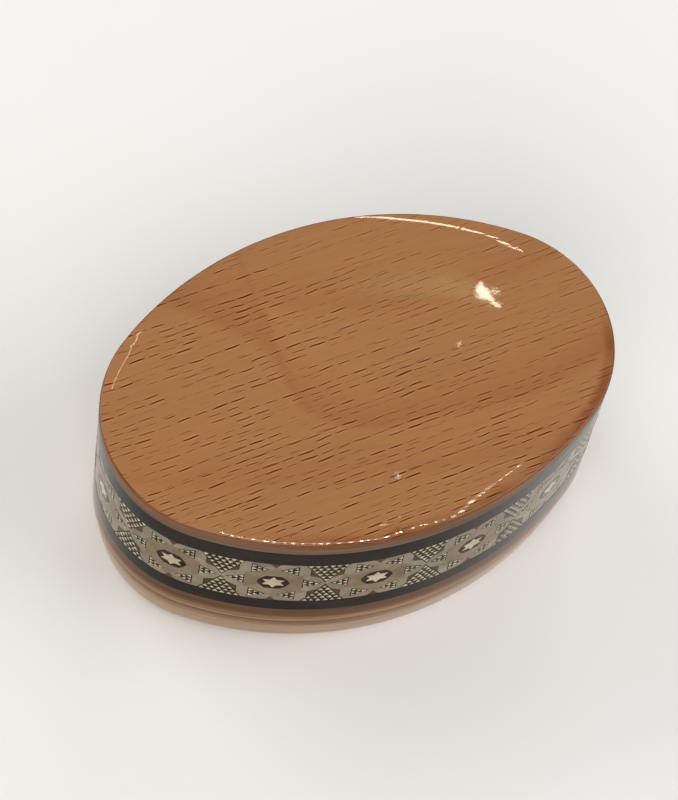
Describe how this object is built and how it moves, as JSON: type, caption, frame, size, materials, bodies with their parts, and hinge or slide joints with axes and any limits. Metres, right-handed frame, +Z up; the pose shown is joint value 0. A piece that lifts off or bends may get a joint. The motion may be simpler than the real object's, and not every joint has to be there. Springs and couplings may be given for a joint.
{
  "type": "jewelry box",
  "caption": "Oval lacquered beech jewelry box: a shallow lined tray under a deep hinged lid, with a khatam marquetry band between black strips round the lid.",
  "frame": {"origin": "middle of the underside, on the table", "axes": "+X along the box, +Y to the hinge at the back, +Z up"},
  "size_m": [0.119, 0.0823, 0.0568],
  "materials": {
    "beech": "clear gloss lacquer",
    "plain_wood": "raw",
    "black_wood": "clear gloss lacquer",
    "grey_bone": "clear gloss lacquer",
    "tan_wood": "clear gloss lacquer",
    "bone": "clear gloss lacquer",
    "velvet": "pile",
    "brass": "polished"
  },
  "bodies": {
    "base": {"base_tray": "beech", "base_wall_lining": "velvet", "base_floor_pad": "velvet", "hinge_base_leaf": "brass", "hinge_pin": "brass", "base_hinge_screws": "brass"},
    "lid": {"lid_rim": "beech", "lid_wall_core": "plain_wood", "lid_top_board": "beech", "lower_black_strip": "black_wood", "upper_black_strip": "black_wood", "khatam_backing": "plain_wood", "khatam_ground": "grey_bone", "khatam_points": "black_wood", "khatam_fields": "black_wood", "khatam_hearts": "tan_wood", "khatam_eyes": "black_wood", "khatam_stars": "bone", "lid_wall_lining": "velvet", "lid_ceiling_pad": "velvet", "hinge_lid_leaf": "brass", "lid_hinge_screws": "brass"}
  },
  "joints": [
    {"name": "lid_hinge", "type": "hinge", "parent": "base", "child": "lid", "pos_m": [0, 0.0413, 0.01235], "axis": [-1, 0, 0], "range_deg": [0, 108]}
  ]
}
